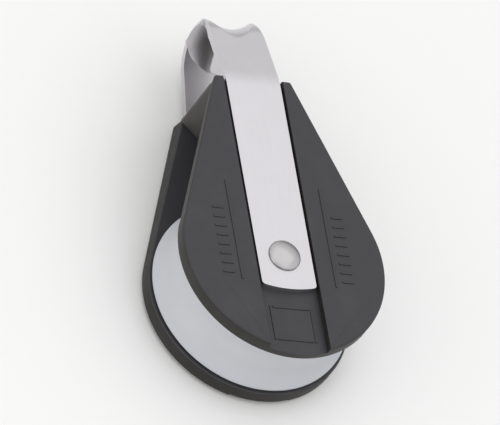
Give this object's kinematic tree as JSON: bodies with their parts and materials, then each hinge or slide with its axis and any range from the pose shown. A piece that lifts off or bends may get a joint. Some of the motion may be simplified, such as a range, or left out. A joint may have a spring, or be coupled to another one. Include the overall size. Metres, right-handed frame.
{
  "type": "single sheave block",
  "caption": "Small single sheave block: black cheeks, white ball-bearing sheave and a stainless strap bent over into a fixed eye with a rope saddle.",
  "frame": {"origin": "on the axle, at the middle of the sheave's groove", "axes": "+Z along the axle and out of the front cheek, +Y from the axle towards the eye, +X to the right; it lies on its rear cheek"},
  "size_m": [0.0392, 0.0725, 0.02],
  "materials": {
    "cheek_nylon": "black moulded nylon, fine satin texture",
    "spacer_nylon": "black moulded nylon",
    "strap_steel": "lightly brushed stainless strip",
    "rivet_steel": "bright formed stainless",
    "hub_steel": "ground stainless",
    "sheave_acetal": "white acetal, semi-gloss",
    "ring_acetal": "white acetal",
    "ball_acetal": "white acetal balls"
  },
  "bodies": {
    "block": {"front_cheek": "cheek_nylon", "rear_cheek": "cheek_nylon", "head_spacer": "spacer_nylon", "strap": "strap_steel", "axle_rivet": "rivet_steel", "bearing_hub": "hub_steel"},
    "sheave_wheel": {"sheave": "sheave_acetal", "race_ring": "ring_acetal"},
    "ball_train": {"ball_01": "ball_acetal", "ball_02": "ball_acetal", "ball_03": "ball_acetal", "ball_04": "ball_acetal", "ball_05": "ball_acetal", "ball_06": "ball_acetal", "ball_07": "ball_acetal", "ball_08": "ball_acetal", "ball_09": "ball_acetal", "ball_10": "ball_acetal", "ball_11": "ball_acetal", "ball_12": "ball_acetal"}
  },
  "joints": [
    {"name": "sheave_spin", "type": "hinge", "parent": "block", "child": "sheave_wheel", "pos_m": [0, 0, 0], "axis": [0, 0, 1], "continuous": true},
    {"name": "ball_orbit", "type": "hinge", "parent": "block", "child": "ball_train", "pos_m": [0, 0, 0], "axis": [0, 0, 1], "continuous": true}
  ],
  "couplings": [
    {"joint": "ball_orbit", "follows": "sheave_spin", "ratio": 0.6313}
  ]
}
